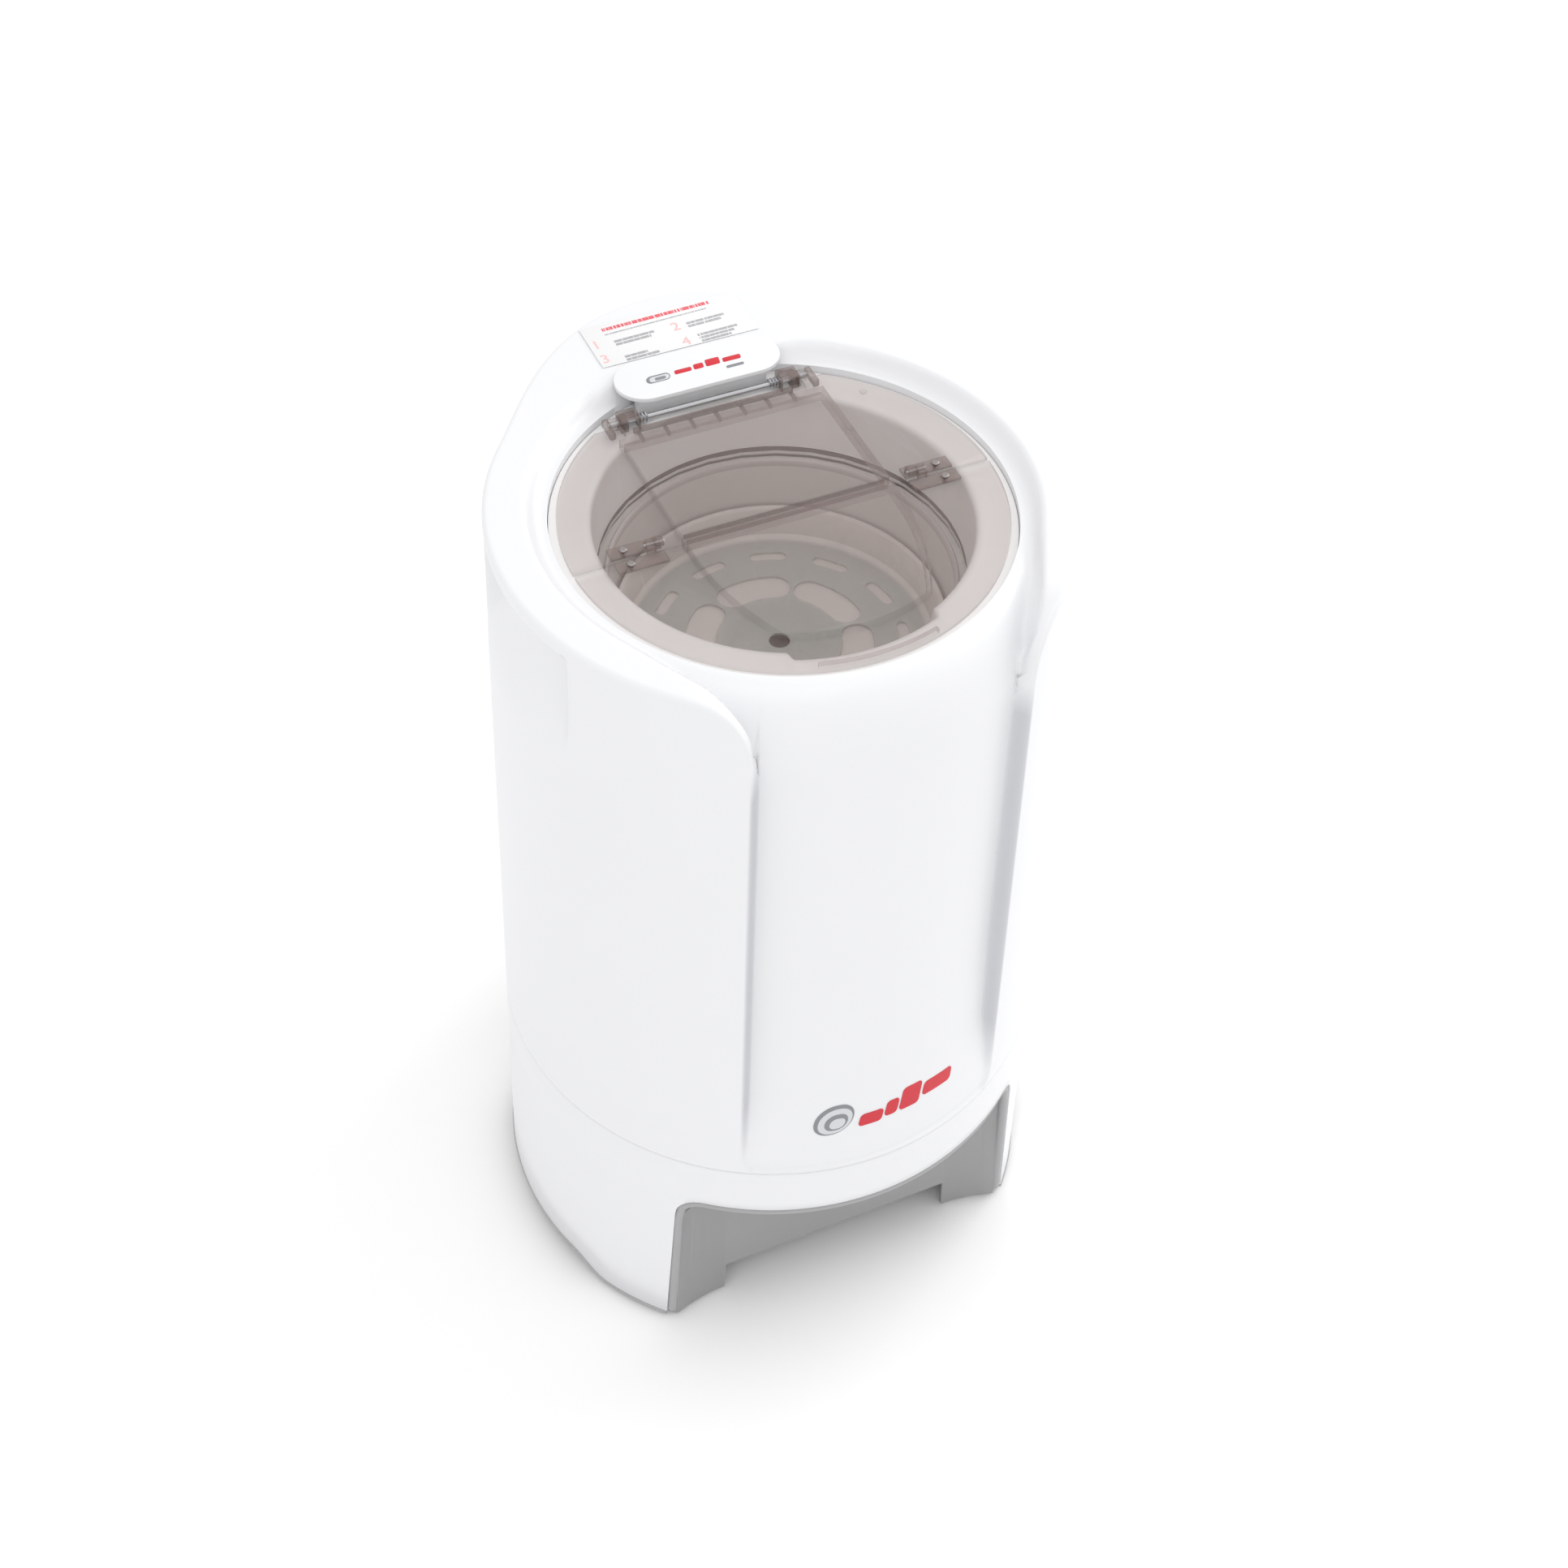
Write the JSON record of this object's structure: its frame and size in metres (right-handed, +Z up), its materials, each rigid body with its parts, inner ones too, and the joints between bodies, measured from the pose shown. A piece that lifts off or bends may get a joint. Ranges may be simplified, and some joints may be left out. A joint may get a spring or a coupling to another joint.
{
  "type": "spin dryer",
  "caption": "Upright household spin dryer: white cabinet on a grey base, smoked folding lid over a steel spin basket with a perforated protective disc.",
  "frame": {"origin": "centre of the bounding box at floor level", "axes": "+Z up, front (the arch and the lid's grip) towards -Y, +X to the right seen from the front"},
  "size_m": [0.4022, 0.4374, 0.664],
  "materials": {
    "cabinet_white": "satin white moulded plastic",
    "base_grey": "fine matt grey moulded plastic",
    "smoked_clear": "smoked see-through plastic",
    "disc_clear": "greenish see-through plastic",
    "label_film": "printed film",
    "inner_white": "plain white plastic",
    "stainless": "drawn stainless sheet",
    "bright_steel": "zinc-plated steel",
    "cast_aluminium": "as cast",
    "winding": "varnished copper winding",
    "rotor_iron": "dark laminated iron",
    "black_rubber": "soft black rubber",
    "dark_plastic": "dark moulded plastic"
  },
  "bodies": {
    "cabinet": {"cabinet_shell": "cabinet_white", "lower_skirt": "cabinet_white", "badge_plate": "cabinet_white", "top_deck": "cabinet_white", "base_frame": "base_grey", "drain_spout": "base_grey", "hinge_bracket_left": "smoked_clear", "hinge_bracket_right": "smoked_clear", "instruction_label": "label_film", "outer_tub": "inner_white", "lid_hinge_pin": "bright_steel", "lid_spring_left": "bright_steel", "lid_spring_right": "bright_steel", "upper_bearing": "bright_steel", "lower_bearing": "bright_steel", "brake_pivot_pin": "bright_steel", "brake_spring": "bright_steel", "motor_spider": "bright_steel", "bearing_housing": "cast_aluminium", "motor_housing": "cast_aluminium", "motor_stator": "winding", "rubber_foot_front_left": "black_rubber", "rubber_foot_front_right": "black_rubber", "rubber_foot_rear_left": "black_rubber", "rubber_foot_rear_right": "black_rubber", "tub_gasket": "black_rubber", "shaft_seal": "black_rubber", "suspension_mount_rear": "black_rubber", "suspension_mount_left": "black_rubber", "suspension_mount_right": "black_rubber", "cord_gland": "black_rubber", "capacitor": "dark_plastic", "lid_switch": "dark_plastic"},
    "lid_rear": {"lid_rear_panel": "smoked_clear", "fold_leaf_rear_left": "smoked_clear", "fold_leaf_rear_right": "smoked_clear", "fold_pin_left": "bright_steel", "fold_pin_right": "bright_steel", "fold_screw_rear_left": "bright_steel", "fold_screw_rear_right": "bright_steel"},
    "lid_front": {"lid_front_panel": "smoked_clear", "fold_leaf_front_left": "smoked_clear", "fold_leaf_front_right": "smoked_clear", "fold_screw_front_left": "bright_steel", "fold_screw_front_right": "bright_steel"},
    "drum": {"spin_basket": "stainless", "balance_ring": "inner_white", "drive_hub": "cast_aluminium", "hub_nut": "bright_steel", "drive_shaft": "bright_steel", "motor_rotor": "rotor_iron", "brake_drum": "bright_steel"},
    "disc": {"protective_disc": "disc_clear"},
    "plunger": {"switch_plunger": "inner_white"},
    "brake": {"brake_lever": "bright_steel", "brake_shoe": "black_rubber"}
  },
  "joints": [
    {"name": "lid_rear_hinge", "type": "hinge", "parent": "cabinet", "child": "lid_rear", "pos_m": [0, 0.09841, 0.65], "axis": [-1, 0, 0], "range_deg": [0, 80]},
    {"name": "lid_fold_hinge", "type": "hinge", "parent": "lid_rear", "child": "lid_front", "pos_m": [0, -0.02459, 0.6568], "axis": [-1, 0, 0], "range_deg": [0, 110]},
    {"name": "drum_spin", "type": "hinge", "parent": "cabinet", "child": "drum", "pos_m": [0, -0.02059, 0.05], "axis": [0, 0, 1], "continuous": true},
    {"name": "disc_slide", "type": "slide", "parent": "drum", "child": "disc", "axis": [0, 0, 1], "range_m": [-0.24, 0.03]},
    {"name": "lid_switch_plunger", "type": "slide", "parent": "cabinet", "child": "plunger", "axis": [0, 0, 1], "range_m": [0, 0.003]},
    {"name": "brake_lever_pivot", "type": "hinge", "parent": "cabinet", "child": "brake", "pos_m": [0.03, 0.04541, 0.1535], "axis": [0, 0, -1], "range_deg": [0, 3]}
  ],
  "couplings": [
    {"joint": "lid_switch_plunger", "follows": "lid_rear_hinge", "m_per_rad": 0.0021},
    {"joint": "brake_lever_pivot", "follows": "lid_rear_hinge", "ratio": 0.035}
  ]
}
